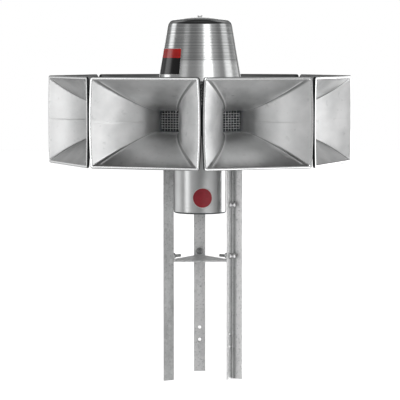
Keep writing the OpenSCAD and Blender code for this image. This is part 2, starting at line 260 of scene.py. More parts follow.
def begun(name, **values):
    """A material, its tree, its shader with plain values set, and its Object coordinates."""
    material = bpy.data.materials.new(name)
    material.use_nodes = True
    tree = material.node_tree
    shader = tree.nodes["Principled BSDF"]
    for key, value in values.items():
        shader.inputs[key.replace("_", " ")].default_value = value
    return material, tree, shader, add(tree, "TexCoord", out="Object")


def linked(shader, **patterns):
    """Links patterns to a shader's inputs, by the inputs' names."""
    for key, pattern in patterns.items():
        shader.id_data.links.new(pattern, shader.inputs[key.replace("_", " ")])


def per(size):
    """The texture scale that gives features of a size in millimetres."""
    return 1000 / size


def turning_lines(tree, place, pitch):
    """Lines left by a turning tool: noise over height less radius, which rises from rim to crown."""
    x, y, z = add(tree, "SeparateXYZ", [place]).node.outputs
    level = add(tree, "CombineXYZ", [x, y])
    radius = add(tree, "VectorMath", [level], out="Value", operation="LENGTH")
    along = add(tree, "Math", [z, radius], operation="SUBTRACT")
    fill = {"W": along, "Scale": per(pitch), "Detail": 3.0, "Roughness": 0.7}
    return add(tree, "TexNoise", fill, noise_dimensions="1D")


def horn_aluminium():
    """Aluminium sheet, formed and left bare: a satin grey with slow cloudy patches, a fine grain and a few
    duller scuffs. The lip is polished bright, white oxide dulls the throat and the laps, and painted
    shade darkens the creases and the outsides between the horns."""
    material, tree, shader, place = begun("horn_aluminium")
    polish, oxide, painted_shade = [add(tree, "Attribute", out="Fac", attribute_name=key)
                            for key in ("polish", "oxide", "painted_shade")]
    cloud = add(tree, "TexNoise", {"Vector": place, "Scale": per(110), "Detail": 3.0})
    scuff = add(tree, "TexNoise", {"Vector": place, "Scale": per(26), "Detail": 5.0})
    # The sheet's grain is finer than a pixel, so it is drawn at 5 mm.
    grain = add(tree, "TexNoise", {"Vector": place, "Scale": per(5), "Detail": 2.0})
    colour = add(tree, "ValToRGB", [cloud], stops=[(NOISE_LOW, "#dcdddd"), (NOISE_HIGH, "#f8f8f8")])
    dull = add(tree, "ValToRGB", [scuff], stops=[(0.62, "#ffffff"), (0.78, "#e6e7e7")])
    # The dark mix is painted shade: in the creases by the corners and on the outsides between the horns.
    for share, blend_type, tint in ((1.0, "MULTIPLY", dull), (polish, "MIX", "#f0f1f1"),
                                    (oxide, "MIX", "#f6f6f6"), (painted_shade, "MIX", "#3a3c3d")):
        fill = {0: share, 6: colour, 7: tint}
        colour = add(tree, "Mix", fill, out=2, data_type="RGBA", blend_type=blend_type)
    satin = add(tree, "MapRange", [cloud, NOISE_LOW, NOISE_HIGH, 0.34, 0.46])
    rough = add(tree, "Mix", {0: polish, 2: satin, 3: 0.18})
    metal = add(tree, "MapRange", [oxide, NOISE_LOW, NOISE_HIGH, 1.0, 0.25])
    bump = add(tree, "Bump", {"Height": grain, "Strength": 0.10, "Distance": 0.6 * MM})
    linked(shader, Base_Color=colour, Roughness=rough, Metallic=metal, Normal=bump)
    return material


def spun_aluminium():
    """Aluminium sheet spun over a former and left bright: level tool lines that draw lights out into
    upright streaks, darker over the step than on the skirt."""
    material, tree, shader, place = begun("spun_aluminium", Metallic=1.0, Anisotropic=0.35,
                                          Anisotropic_Rotation=0.25)
    # Tool lines are finer than a pixel, so the closest ones are drawn 7 mm apart.
    fine = turning_lines(tree, place, 7)
    broad = turning_lines(tree, place, 34)
    height = add(tree, "SeparateXYZ", [place], out="Z")
    over = add(tree, "MapRange", [height, (STEP_Z - 1) * MM, (STEP_Z + 1) * MM, 0.0, 1.0])
    skirt = add(tree, "ValToRGB", [fine], stops=[(0.34, "#d0d1d1"), (0.66, "#dadbdb")])
    upper = add(tree, "ValToRGB", [fine], stops=[(0.36, "#a2a4a4"), (0.5, "#b6b7b7"), (0.64, "#c1c2c2")])
    colour = add(tree, "Mix", {0: over, 6: skirt, 7: upper}, out=2, data_type="RGBA")
    rough = add(tree, "MapRange", [broad, NOISE_LOW, NOISE_HIGH, 0.16, 0.24])
    around = add(tree, "Tangent", direction_type="RADIAL", axis="Z")
    bump = add(tree, "Bump", {"Height": fine, "Strength": 0.22, "Distance": 0.5 * MM})
    linked(shader, Base_Color=colour, Roughness=rough, Tangent=around, Normal=bump)
    return material


def motor_steel():
    """Rolled steel shell under thin bright plating: soft wide reflections with faint level rub marks."""
    material, tree, shader, place = begun("motor_steel", Metallic=1.0)
    rub = turning_lines(tree, place, 9)
    cloud = add(tree, "TexNoise", {"Vector": place, "Scale": per(70), "Detail": 4.0})
    colour = add(tree, "ValToRGB", [cloud], stops=[(NOISE_LOW, "#bebfbf"), (NOISE_HIGH, "#c9caca")])
    rough = add(tree, "MapRange", [rub, NOISE_LOW, NOISE_HIGH, 0.29, 0.33])
    bump = add(tree, "Bump", {"Height": rub, "Strength": 0.012, "Distance": 0.5 * MM})
    linked(shader, Base_Color=colour, Roughness=rough, Normal=bump)
    return material


# Reach of the painted shade in a leg's root, in millimetres
ROOT_SHADE_FULL, ROOT_SHADE_END = 10.0, 21.0
ROOT_SHADE_FACE, ROOT_SHADE_BACK = 1.0, 3.0


def root_painted_shade(tree, place, turn):
    """A tint of painted shade for a leg's root: it depends on the distance to the line where the flanges
    meet, in the leg's own directions, and leaves the backs of the flanges clear."""
    fill = {"Vector": place, "Rotation": (0, 0, -math.radians(turn)), "Scale": (1, 1, 0),
            "Location": (-LEG_ROOT_X * MM, LEG_OUT * MM, 0)}
    off = add(tree, "Mapping", fill)
    distance = add(tree, "VectorMath", [off], out="Value", operation="LENGTH")
    across, outwards, _ = add(tree, "SeparateXYZ", [off]).node.outputs
    depth = add(tree, "Math", [across, outwards], operation="MAXIMUM")
    far = add(tree, "MapRange", [distance, ROOT_SHADE_FULL * MM, ROOT_SHADE_END * MM, 0.0, 1.0])
    behind = add(tree, "MapRange", [depth, ROOT_SHADE_FACE * MM, ROOT_SHADE_BACK * MM, 0.0, 1.0])
    clear = add(tree, "Math", [far, behind], operation="MAXIMUM")
    return add(tree, "ValToRGB", [clear], stops=[(0.0, "#cacbcb"), (1.0, "#ffffff")])


def galvanised_steel(name, metallic, tones, relief, leg_turn=None):
    """Hot-dipped zinc on rolled steel: a matt grey with spangle, duller runs and small dark specks, in the
    tones given; greyer tones are painted shade. Painted shade also darkens the root of a leg."""
    material, tree, shader, place = begun(name, Metallic=metallic)
    spangle = add(tree, "TexVoronoi", {"Vector": place, "Scale": per(13), "Randomness": 1.0}, out="Color")
    tone = add(tree, "RGBToBW", [spangle])
    runs = add(tree, "Mapping", {"Vector": place, "Scale": (1.0, 1.0, 0.22)})
    cloud = add(tree, "TexNoise", {"Vector": runs, "Scale": per(34), "Detail": 6.0, "Roughness": 0.6})
    blend = add(tree, "Math", [tone, 0.25, cloud], operation="MULTIPLY_ADD")
    colour = add(tree, "ValToRGB", [blend], stops=list(zip((0.36, 0.58, 0.82), tones)))
    speck = add(tree, "TexNoise", {"Vector": place, "Scale": per(6), "Detail": 2.0})
    tints = [add(tree, "ValToRGB", [speck], stops=[(0.58, "#ffffff"), (0.72, "#ced0d0")])]
    # The root's painted shade
    if leg_turn is not None:
        tints.append(root_painted_shade(tree, place, leg_turn))
    for tint in tints:
        fill = {0: 1.0, 6: colour, 7: tint}
        colour = add(tree, "Mix", fill, out=2, data_type="RGBA", blend_type="MULTIPLY")
    rough = add(tree, "MapRange", [cloud, NOISE_LOW, NOISE_HIGH, 0.46, 0.56])
    bump = add(tree, "Bump", {"Height": cloud, "Strength": 0.25, "Distance": relief * MM})
    linked(shader, Base_Color=colour, Roughness=rough, Normal=bump)
    return material


def plain_metal(name, dark, pale, patch, roughness, relief):
    """A bare metal with patches between two greys, and roughness and bump that follow them."""
    material, tree, shader, place = begun(name, Metallic=1.0)
    cloud = add(tree, "TexNoise", {"Vector": place, "Scale": per(patch), "Detail": 5.0})
    colour = add(tree, "ValToRGB", [cloud], stops=[(NOISE_LOW, dark), (NOISE_HIGH, pale)])
    rough = add(tree, "MapRange", [cloud, NOISE_LOW, NOISE_HIGH, *roughness])
    bump = add(tree, "Bump", {"Height": cloud, "Strength": relief, "Distance": 0.8 * MM})
    linked(shader, Base_Color=colour, Roughness=rough, Normal=bump)
    return material


def grey_steel():
    """Mill-finished steel plate: mid grey, half matt, slightly uneven."""
    return plain_metal("grey_steel", "#a2a4a5", "#bcbebf", 40, (0.40, 0.55), 0.12)


def cast_housing():
    """Aluminium casting as it left the sand: dark, rough and grainy."""
    return plain_metal("cast_aluminium", "#63676a", "#7f8385", 9, (0.55, 0.70), 0.5)


def zinc_hardware():
    """Zinc-plated bolts and nuts in a grey that is partly painted shade: smooth, a little cloudy."""
    return plain_metal("zinc_hardware", "#8e9090", "#b8b9b9", 12, (0.18, 0.28), 0.05)


def bright_zinc_hardware():
    """Zinc-plated cap nuts and wing nut: the same zinc without the painted shade, pale, with a soft gloss.
    """
    return plain_metal("bright_zinc_hardware", "#dcdddd", "#f0f0f0", 12, (0.34, 0.42), 0.05)


def weathered_wire():
    """Drawn steel wire under dulled zinc: pale grey with duller stretches, dark only in the shade."""
    return plain_metal("weathered_wire", "#d2d4d4", "#ececec", 14, (0.38, 0.52), 0.15)


def film(name, dark, pale, roughness):
    """Vinyl film: one even colour under a slight gloss, with a faint mottle from handling."""
    material, tree, shader, place = begun(name, Roughness=roughness, Specular_IOR_Level=0.5)
    cloud = add(tree, "TexNoise", {"Vector": place, "Scale": per(15), "Detail": 4.0})
    linked(shader, Base_Color=add(tree, "ValToRGB", [cloud], stops=[(0.35, dark), (0.65, pale)]))
    return material


# Nuts, washers and threads

NUT_POINTS, NUT_CHAMFER, CHAMFER_FALL = 24, 0.47, 0.16
WASHER_SIDES = 32
THREAD_SIDES, THREAD_SWING = 14, 0.14


def hexagon_radius(angle, flats):
    """Distance from the middle of a hexagon to its edge, in each direction."""
    return flats / 2 / np.cos((angle + np.pi / 6) % (np.pi / 3) - np.pi / 6)


def hexagon_nut(flats, height, bore=0.0):
    """A hexagon carried up its height, cut back to a round chamfer at both ends, with a dished bore."""
    angle = 2 * np.pi * np.arange(NUT_POINTS) / NUT_POINTS
    edges = hexagon_radius(angle, flats)
    bevel = np.minimum(edges, flats * NUT_CHAMFER)
    fall = height * CHAMFER_FALL
    return ringed([(bore, fall), (bore + fall, 0), (bevel, 0), (edges, fall), (edges, height - fall),
                   (bevel, height), (bore + fall, height), (bore, height - fall)], angle)


def washer(radius, thick):
    """A flat disc with eased edges, revolved from its outline."""
    ease = thick / 4
    return revolved([(0, 0), (radius - ease, 0), (radius, ease), (radius, thick - ease),
                     (radius - ease, thick), (0, thick)], WASHER_SIDES)


def threaded_rod(diameter, length, pitch):
    """A rod whose radius swings up and down once a pitch, closed at both ends."""
    height = np.arange(0, length + pitch / 4, pitch / 2)
    radius = diameter / 2 - pitch * THREAD_SWING * (1 - np.cos(2 * np.pi * height / pitch))
    profile = np.concatenate([[(0, 0)], np.stack([radius, height], axis=-1), [(0, height[-1])]])
    return revolved(profile, THREAD_SIDES)


# Horns

CORNER_STEPS = 12
THROAT_CORNER, MOUTH_CORNER = 4.5, 7.0
# Shares of the half width for the crease by each corner and the lapped edge beside it
CREASE_AT, LAP_AT, LAP_END = (0.972, 0.955), (0.945, 0.905), 0.89
LAP_RISE, RIDGE_RISE, RIDGE_SHARE = 1.5, 0.7, 0.012
RELIEF_START, RELIEF_FULL, RELIEF_LIP = -60.0, -10.0, 10.0
THROAT_END, BELL_START = -14.0, -8.0
THROAT_ROWS, BELL_ROWS, LIP_ROWS, BACK_ROWS = 6, 36, 14, 24
LIP_R, LIP_SQUARENESS, LIP_CORNER_GROWTH = 7.2, 0.3, 0.2
LIP_START, LIP_FLANK, LIP_END = math.radians(50), math.radians(130), math.radians(270)
BACK_START, BACK_GAP = 2.2, 3.0
FLANGE_CORNER, FLANGE_EASE, FLANGE_ROOT = 8.0, 1.0, 6.0
# Strengths of the painted shade in the creases and on the tops outside, and how far behind the lip the
# outside shade reaches
CREASE_PAINTED_SHADE, TOP_PAINTED_SHADE, PAINTED_SHADE_REACH = 0.4, 0.75, 60.0
THROAT_OXIDE, OXIDE_REACH = 0.42, 90.0


def eased(u):
    """A straight line that eases out of zero: the flare's own measure of length."""
    return (u + np.sqrt(u * u + FLARE_EASE ** 2)) / 2


def flare(u, throat, mouth):
    """Half size of a horn's inside and its slope: an exponential of the eased length."""
    growth = math.log(mouth / throat) / eased(FLARE_LEN)
    half = throat / 2 * np.exp(growth * eased(u))
    return half, growth * half * (1 + u / np.sqrt(u * u + FLARE_EASE ** 2)) / 2


def corner_radius(u):
    """Radius of the corner between two sheets: it grows evenly from throat to mouth."""
    return THROAT_CORNER + (MOUTH_CORNER - THROAT_CORNER) * np.clip(u / FLARE_LEN, 0, 1)


def side_bow(u):
    """How far the upright sides bow out: with the square of the way along the flare."""
    return SIDE_BOW * np.clip(u / FLARE_LEN, 0, 1) ** 2


def horn_ring():
    """Points round a rounded rectangle. Each has its share along the straight sides, its place on a
    corner arc, and its weights for the lapped edge of the top or bottom sheet, for the painted shade in the
    crease between that edge and the corner, and for the ridge along the middle of each upright side."""
    bend = np.linspace(0, 90, CORNER_STEPS + 1)
    level = np.array([*CREASE_AT, *LAP_AT, LAP_END, 0.75, 0.5, 0.25, 0])
    level = np.concatenate([level, -level[-2::-1]])
    upright = np.array([0.8, 0.6, 0.4, 0.2, 0.08, 0.03, 0.016, 0.008, 0])
    upright = np.concatenate([upright, -upright[-2::-1]])
    sides = []
    for corner, (sx, sz) in enumerate(((1, 1), (-1, 1), (-1, -1), (1, -1))):
        angle = np.radians(bend + 90 * corner)
        flat = 0 * bend
        crease = np.clip(2 * np.abs(np.sin(angle)) - 1, 0, 1)
        sides.append(np.stack([flat + sx, flat + sz, np.cos(angle), np.sin(angle), flat, crease, flat]))
        if corner % 2 == 0:
            t = level * sx
            crease = np.where(np.abs(t) >= CREASE_AT[-1], 1.0, 0.0)
            lap = np.where((np.abs(t) <= LAP_AT[0]) & (np.abs(t) >= LAP_AT[-1]), 1.0, 0.0)
            sides.append(np.stack([t, 0 * t + sz, 0 * t, 0 * t + sz, lap, crease, 0 * t]))
        else:
            t = upright * sz
            ridge = np.exp(-(t / RIDGE_SHARE) ** 2)
            sides.append(np.stack([0 * t + sx, t, 0 * t + sx, 0 * t, 0 * t, 0 * t, ridge]))
    return np.concatenate(sides, axis=1)


def horn_stations():
    """The horn's outline from its back, along its inside, round the flat-faced lip and back outside to its
    flange. Each station has its place, half sizes, corner radius, bow, heights of lap and ridge, and its
    shares of polish and painted shade."""
    last = FLARE_LEN - LIP_R * (1 - math.sin(LIP_START))
    u = np.concatenate([np.linspace(-THROAT_LEN, THROAT_END, THROAT_ROWS),
                        np.linspace(BELL_START, last, BELL_ROWS)])
    (w, _), (h, _) = flare(u, THROAT_W, MOUTH_W), flare(u, THROAT_H, MOUTH_H)
    relief = np.clip((last - u) / RELIEF_LIP, 0, 1)
    relief = relief * np.clip((u - RELIEF_START) / (RELIEF_FULL - RELIEF_START), 0, 1)
    inside = np.stack([u, w, h, corner_radius(u), side_bow(u), LAP_RISE * relief, RIDGE_RISE * relief,
                       0 * u, 0 * u])

    turn = np.linspace(LIP_START, LIP_END, LIP_ROWS + 1)[1:]
    out = LIP_R * (math.cos(LIP_START) - np.cos(turn))
    front = np.where(np.sin(turn) > 0, np.abs(np.sin(turn)) ** LIP_SQUARENESS, np.sin(turn))
    face = np.where(turn < LIP_FLANK, 1.0, 0.0)
    lip = np.stack([FLARE_LEN - LIP_R + LIP_R * front, w[-1] + out, h[-1] + out,
                    corner_radius(last) + LIP_CORNER_GROWTH * out, 0 * turn + SIDE_BOW, 0 * turn, 0 * turn,
                    face, 1 - face])

    u = np.linspace(FLARE_LEN - BACK_START * LIP_R, BACK_GAP + FLANGE_T - THROAT_LEN, BACK_ROWS)
    (w, rise_w), (h, rise_h) = flare(u, THROAT_W, MOUTH_W), flare(u, THROAT_H, MOUTH_H)
    outside = np.stack([u, w + HORN_WALL * np.sqrt(1 + rise_w ** 2),
                        h + HORN_WALL * np.sqrt(1 + rise_h ** 2),
                        HORN_WALL + corner_radius(u), side_bow(u), 0 * u, 0 * u, 0 * u,
                        np.clip(1 - (FLARE_LEN - u) / PAINTED_SHADE_REACH, 0, 1)])

    depth = np.array([FLANGE_T, FLANGE_T, FLANGE_T - FLANGE_EASE, FLANGE_EASE, 0])
    reach = np.array([FLANGE_ROOT, FLANGE_W - FLANGE_EASE, FLANGE_W, FLANGE_W, FLANGE_W - FLANGE_EASE])
    flange = np.stack([depth - THROAT_LEN, THROAT_W / 2 + reach, THROAT_H / 2 + reach,
                       0 * reach + FLANGE_CORNER, *np.zeros((5, len(reach)))])
    return np.concatenate([inside, lip, outside, flange], axis=1)


def horn_shell():
    """A horn drawn flat, its depth along its axis: at each station the ring's points are placed by the
    half sizes, with bowed sides, a lapped edge by each corner and a ridge along each side's middle.
    Outside, painted shade lies behind the lip, most on the upright sides, which face the next horn."""
    along_x, along_z, on_x, on_z, lap, crease, ridge = horn_ring()[:, None, :]
    u, w, h, corner, bow, lap_rise, ridge_rise, polish, painted_shade = horn_stations()[:, :, None]
    x = along_x * (w - corner) + on_x * (corner - lap_rise * lap)
    z = along_z * (h - corner) + on_z * (corner - lap_rise * lap)
    x = x + np.sign(along_x) * (bow * (1 - np.minimum(z / h, 1) ** 2) - ridge_rise * ridge)
    points = np.stack([x, z, u + 0 * x], axis=-1)
    relief = lap_rise / LAP_RISE
    # Painted shade: outside behind the lip, most on the upright sides and the tops, and in the creases
    # inside.
    outside = on_x ** 2 + TOP_PAINTED_SHADE * np.maximum(on_z, 0) ** 2
    throat = THROAT_OXIDE * np.clip(1 - u / OXIDE_REACH, 0, 1) * np.where(relief > 0, 1.0, 0.0)
    shares = {"polish": (polish + 0 * x).ravel(), "oxide": np.maximum(lap * relief, throat).ravel(),
              "painted_shade": (painted_shade * outside + CREASE_PAINTED_SHADE * crease * relief).ravel()}
    return (points.reshape(-1, 3), grid_faces(*points.shape[:2], True, True)), shares


# Throat screens

FRAME_POINTS, FRAME_EASE = 48, 0.7
WIRE_D, WIRE_SIDES, WIRE_POINTS, WIRE_HOLD = 2.6, 6, 41, 2.0
BOLT_PLACES = [(x, y) for x in (-70, 0, 70) for y in (-57, 57)]
FLANGE_BOLT_FLATS, FLANGE_HEAD_H, FLANGE_NUT_H = 13, 6, 7


def edge_distance(angle, planes):
    """Distance from the middle of a convex outline to its edge: the nearest of its sides, each given by
    the direction that it faces and how far off it lies."""
    facing, off = np.asarray(planes).T
    towards = np.cos(angle[:, None] - np.radians(facing)[None, :])
    return np.min(np.where(towards > 1e-6, off / np.maximum(towards, 1e-6), np.inf), axis=1)


def screen_frame():
    """A flat frame: the gap between the cut-cornered window and the flange's edge, with eased edges."""
    half_w, half_h = THROAT_W / 2 - SCREEN_RIM, THROAT_H / 2 - SCREEN_RIM
    out_w, out_h = THROAT_W / 2 + FLANGE_W, THROAT_H / 2 + FLANGE_W
    cut = (half_w + half_h - WINDOW_CUT) / math.sqrt(2)
    window = [(0, half_w), (90, half_h), (180, half_w), (270, half_h)]
    window += [(45 + 90 * k, cut) for k in range(4)]
    border = [(0, out_w), (90, out_h), (180, out_w), (270, out_h)]
    corners = [math.atan2(out_h, out_w), math.atan2(half_h, half_w - WINDOW_CUT),
               math.atan2(half_h - WINDOW_CUT, half_w)]
    angle = np.concatenate([np.linspace(0, 2 * np.pi, FRAME_POINTS, endpoint=False)]
                           + [np.array([a, np.pi - a, np.pi + a, -a]) % (2 * np.pi) for a in corners])
    angle = np.unique(np.round(angle, 6))
    inner, outer = edge_distance(angle, window), edge_distance(angle, border)
    return ringed([(inner + FRAME_EASE, 0), (inner, FRAME_EASE), (inner, SCREEN_T - FRAME_EASE),
                   (inner + FRAME_EASE, SCREEN_T), (outer, SCREEN_T), (outer, 0)], angle)


def woven_wires():
    """Crimped wires in a plain weave: each swings over and under its neighbours by a cosine whose half
    wave is the crossing wires' spacing."""
    half_w, half_h = THROAT_W / 2 - SCREEN_RIM, THROAT_H / 2 - SCREEN_RIM
    shells = []
    for reach, side, pitch, cross, upright in ((half_w, half_h, WIRE_PITCH_H, WIRE_PITCH_W, False),
                                               (half_h, half_w, WIRE_PITCH_W, WIRE_PITCH_H, True)):
        count = int(side / pitch)
        number = np.arange(-count, count + 1)
        place = number * pitch
        length = reach + WIRE_HOLD - np.maximum(0, np.abs(place) - (side - WINDOW_CUT))
        t = np.linspace(-1, 1, WIRE_POINTS)[None, :] * length[:, None]
        swing = WIRE_D / 2 * np.cos(np.pi * t / cross) * np.where(number % 2 == 0, 1, -1)[:, None]
        off = place[:, None] + 0 * t
        ways = (off, t, SCREEN_T / 2 - swing) if upright else (t, off, SCREEN_T / 2 + swing)
        across = np.array([1.0, 0, 0]) if upright else np.array([0, 1.0, 0])
        shells.append(rods(np.stack(ways, axis=-1), WIRE_D, WIRE_SIDES, across, np.array([0, 0, 1.0])))
    return joined(shells)


def flange_bolts():
    """The bolts through a horn's flange: a hexagon head in front of it and a nut behind the duct's."""
    head = hexagon_nut(FLANGE_BOLT_FLATS, FLANGE_HEAD_H)
    nut = hexagon_nut(FLANGE_BOLT_FLATS, FLANGE_NUT_H)
    return joined([shifted(head, x, y, FLANGE_T + SCREEN_T) for x, y in BOLT_PLACES]
                  + [shifted(nut, x, y, -FLANGE_T - FLANGE_NUT_H) for x, y in BOLT_PLACES])


# Hood

ROUND_SIDES = 160
STEP_Z, STEP_OUT, STEP_SOFT = 880.0, 0.6, 0.8
HEM_H, HEM_T = 14.0, 5.0
WALL_ROWS, SHOULDER_STEPS, CROWN_STEPS = 24, 12, 16
WING_HUB = [(0, 0), (6.5, 0), (6.5, 1), (5.2, 2), (5, 4), (4.2, 4.6), (0, 4.6)]
WING_W, WING_T, WING_H = 3.4, 1.7, 3.3
WING_OUT, WING_LEAN, WING_Z = 7.4, 0.6, 3.6


def hood_profile():
    """The hood's outline: a tapered wall with a small step, a shoulder arc that meets wall and crown
    without a corner, the crown's arc, and the same again a sheet's thickness inside, with a folded hem."""
    wall = np.array([-math.sin(HOOD_TAPER), math.cos(HOOD_TAPER)])
    foot = np.array([HOOD_RIM_R - SHOULDER_R * math.cos(HOOD_TAPER), -SHOULDER_R * math.sin(HOOD_TAPER)])
    crown = np.array([0, HOOD_H - CROWN_R])
    gap = foot - crown
    along = gap @ wall
    centre = foot + wall * (math.sqrt(along ** 2 - gap @ gap + (CROWN_R - SHOULDER_R) ** 2) - along)
    half = math.degrees(math.asin(centre[0] / (CROWN_R - SHOULDER_R)))
    hole = math.degrees(math.asin(STUD_HOLE_R / CROWN_R))

    def skin(inset):
        shoulder = arc(centre, SHOULDER_R - inset, math.degrees(HOOD_TAPER), 90 - half, SHOULDER_STEPS)
        dome = arc(crown, CROWN_R - inset, 90 - half, 90 - hole, CROWN_STEPS)[1:]
        low = np.array([HOOD_RIM_R - inset / math.cos(HOOD_TAPER), 0])
        rows = low + np.linspace(0, 1, WALL_ROWS + 1)[:-1, None] * (shoulder[0] - low)
        return np.concatenate([rows, shoulder, dome])

    outer, inner = skin(0), skin(HOOD_SHEET)
    skirt = 1 / (1 + np.exp((outer[:, 1] + HOOD_RIM_Z - STEP_Z) / STEP_SOFT))
    outer[:, 0] -= STEP_OUT * (1 - skirt)
    hem = inner[:, 1] < HEM_H
    inner[hem, 0] -= HEM_T - HOOD_SHEET
    return np.concatenate([outer, inner[::-1]]) + np.array([0, HOOD_RIM_Z])


def wing_nut():
    """A hub revolved with a flared foot, and two rounded wings: flat ovals whose thickness falls off to
    their edge, leaning outward from the hub."""
    around = np.linspace(0, 2 * np.pi, 17)[:-1]
    up = np.linspace(-1, 1, 9)[:, None]
    girth = np.sqrt(np.maximum(0, 1 - up ** 2))
    x = WING_W * girth * np.cos(around) + WING_OUT + WING_LEAN * up
    y = WING_T * girth * np.sin(around)
    z = WING_Z + WING_H * up + 0 * around
    wing = (np.stack([x, y, z], axis=-1).reshape(-1, 3), grid_faces(*x.shape, False, True))
    return shifted(joined([revolved(WING_HUB, 24), wing, turned(wing, 180)]), z=HOOD_RIM_Z + HOOD_H)


# Intake

POST_PITCH = 4.0
POST_NUT_FLATS, POST_NUT_H, POST_NUT_BORE, POST_NUT_PLACES = 19, 10, 4, (2, 24, 50, 76)
POST_WASHER_R, POST_WASHER_T = 11.5, 2.0
GUARD_HOOPS = 5


def hood_post():
    """A threaded rod with hexagon nuts at its ends and middle, on washers."""
    nut = hexagon_nut(POST_NUT_FLATS, POST_NUT_H, POST_NUT_BORE)
    plate = washer(POST_WASHER_R, POST_WASHER_T)
    stack = [threaded_rod(POST_D, INTAKE_GAP, POST_PITCH)]
    stack += [shifted(nut, z=z) for z in POST_NUT_PLACES]
    stack += [shifted(plate, z=z) for z in (0, INTAKE_GAP - POST_WASHER_T)]
    return shifted(joined(stack), y=-POST_CIRCLE, z=TOP_PLATE_TOP)


def guard_cage():
    """Upright round bars in a circle and round hoops about them, as rods along straight and circular
    paths."""
    turn = 2 * np.pi * (np.arange(GUARD_BARS) + 0.5) / GUARD_BARS
    foot = np.stack([GUARD_CIRCLE * np.cos(turn), GUARD_CIRCLE * np.sin(turn), 0 * turn], axis=-1)
    rise = np.linspace(0, INTAKE_GAP, 2)[None, :, None] * np.array([0, 0, 1.0])
    bars = rods(foot[:, None, :] + rise, GUARD_BAR_D, 8, np.array([1.0, 0, 0]), np.array([0, 1.0, 0]))
    hoop = revolved(arc((GUARD_CIRCLE, 0), GUARD_BAR_D / 2, 0, 315, 7), 72, True)
    places = GUARD_BAR_D / 2 + np.linspace(0, 1, GUARD_HOOPS) * (INTAKE_GAP - GUARD_BAR_D)
    return shifted(joined([bars] + [shifted(hoop, z=z) for z in places]), z=TOP_PLATE_TOP)


# Motor

BEAD_R, RIM_R, RIM_IN, COVER_IN = 1.5, 5.0, 6.5, 1.5
DISH = [(0, 2.5), (46, 2.5), (50, 0.6), (54, 0)]


def motor_shell_profile():
    """The shell's outline: straight, with a small bead turned at its lower edge."""
    bead = arc((MOTOR_R - BEAD_R, SHELL_BOTTOM + BEAD_R), BEAD_R, -90, 0, 4)
    wall = [(MOTOR_R, z) for z in np.linspace(SHELL_BOTTOM + 4, SHELL_TOP, 12)]
    inner = [(MOTOR_R - MOTOR_SHEET, SHELL_TOP), (MOTOR_R - MOTOR_SHEET, SHELL_BOTTOM)]
    return np.concatenate([bead, wall, inner])


def motor_cover_profile():
    """The cover's outline: a shallow dish with a rounded rim, a little smaller than the shell."""
    thick = SHELL_BOTTOM - MOTOR_BOTTOM
    rim = arc((MOTOR_R - RIM_IN, RIM_R), RIM_R, -90, 0, 6)
    outline = np.concatenate([DISH, rim, [(MOTOR_R - COVER_IN, thick), (0, thick)]])
    return outline + np.array([0, MOTOR_BOTTOM])


# Leg and plate fasteners

BOLT_D, BOLT_PITCH, BOLT_WASHER_R, BOLT_WASHER_T = 12.7, 3.0, 15.5, 2.5
NUT_FLATS, NUT_H, NUT_BORE = 22, 11.0, 4
CAP_FLATS, CAP_NUT_H, CAP_R, CAP_H, CAP_BLUNTNESS, CAP_SINK = 25, 6.5, 12.4, 15.0, 0.6, 0.5
SPREADER_STUB, BASE_STUB = 42, 19
LOW_HEAD_FOOT = [(0, 0), (12, 0), (12.4, 1)]
LOW_HEAD_R, LOW_HEAD_DROP = 25, 21
PLATE_BOLT_FLATS, PLATE_BOLT_H = 15, 6
TOP_BOLT_CIRCLE, BASE_BOLT_CIRCLE = 180, 170


def cap_nut():
    """A washer, a hexagon nut and a blunt dome over the bolt's end: a quarter of a rounded square carried
    round."""
    rise = np.linspace(0, np.pi / 2, 10)
    dome = np.stack([CAP_R * np.cos(rise) ** CAP_BLUNTNESS, CAP_H * np.sin(rise) ** CAP_BLUNTNESS], axis=-1)
    return joined([washer(BOLT_WASHER_R, BOLT_WASHER_T),
                   shifted(hexagon_nut(CAP_FLATS, CAP_NUT_H), z=BOLT_WASHER_T),
                   shifted(revolved(dome, WASHER_SIDES), z=BOLT_WASHER_T + CAP_NUT_H - CAP_SINK)])


def low_head():
    """A flat bolt head: a shallow dome on a thin edge."""
    dome = arc((0, -LOW_HEAD_DROP), LOW_HEAD_R, 61, 90, 6)
    return revolved(np.concatenate([LOW_HEAD_FOOT, dome]), WASHER_SIDES)


def nut_and_end(stub):
    """A washer, a hexagon nut and the bolt's threaded end beyond it."""
    return joined([washer(BOLT_WASHER_R, BOLT_WASHER_T),
                   shifted(hexagon_nut(NUT_FLATS, NUT_H, NUT_BORE), z=BOLT_WASHER_T),
                   threaded_rod(BOLT_D, stub, BOLT_PITCH)])


def leg_caps(turn):
    """The cap nuts of a leg's three bolts, outside it."""
    places = (SPREADER_BOLT_Z, MIDDLE_BOLT_Z, BASE_BOLT_Z)
    return joined([outward(cap_nut(), LEG_OUT, z, turn) for z in places])


def leg_nuts(turn):
    """The inner ends of a leg's bolts: nuts where the leg holds a tab, and one flat head."""
    shells = []
    for (points, faces), distance, z in ((nut_and_end(SPREADER_STUB), TAB_IN, SPREADER_BOLT_Z),
                                         (nut_and_end(BASE_STUB), TAB_IN, BASE_BOLT_Z),
                                         (low_head(), LEG_IN, MIDDLE_BOLT_Z)):
        inward = (points * np.array([1, 1, -1]), faces)
        shells.append(outward(inward, distance, z, turn))
    return joined(shells)


def plate_bolts():
    """Hexagon heads in a ring, over the top plate and under the base plate."""
    head = hexagon_nut(PLATE_BOLT_FLATS, PLATE_BOLT_H)
    rings = ((TOP_BOLT_CIRCLE, TOP_PLATE_TOP), (BASE_BOLT_CIRCLE, SHELL_TOP - PLATE_BOLT_H))
    return joined([turned(shifted(head, y=-circle, z=z), (k + 0.5) * HORN_TURN)
                   for circle, z in rings for k in range(HORN_COUNT)])


# Films on the hood and the motor

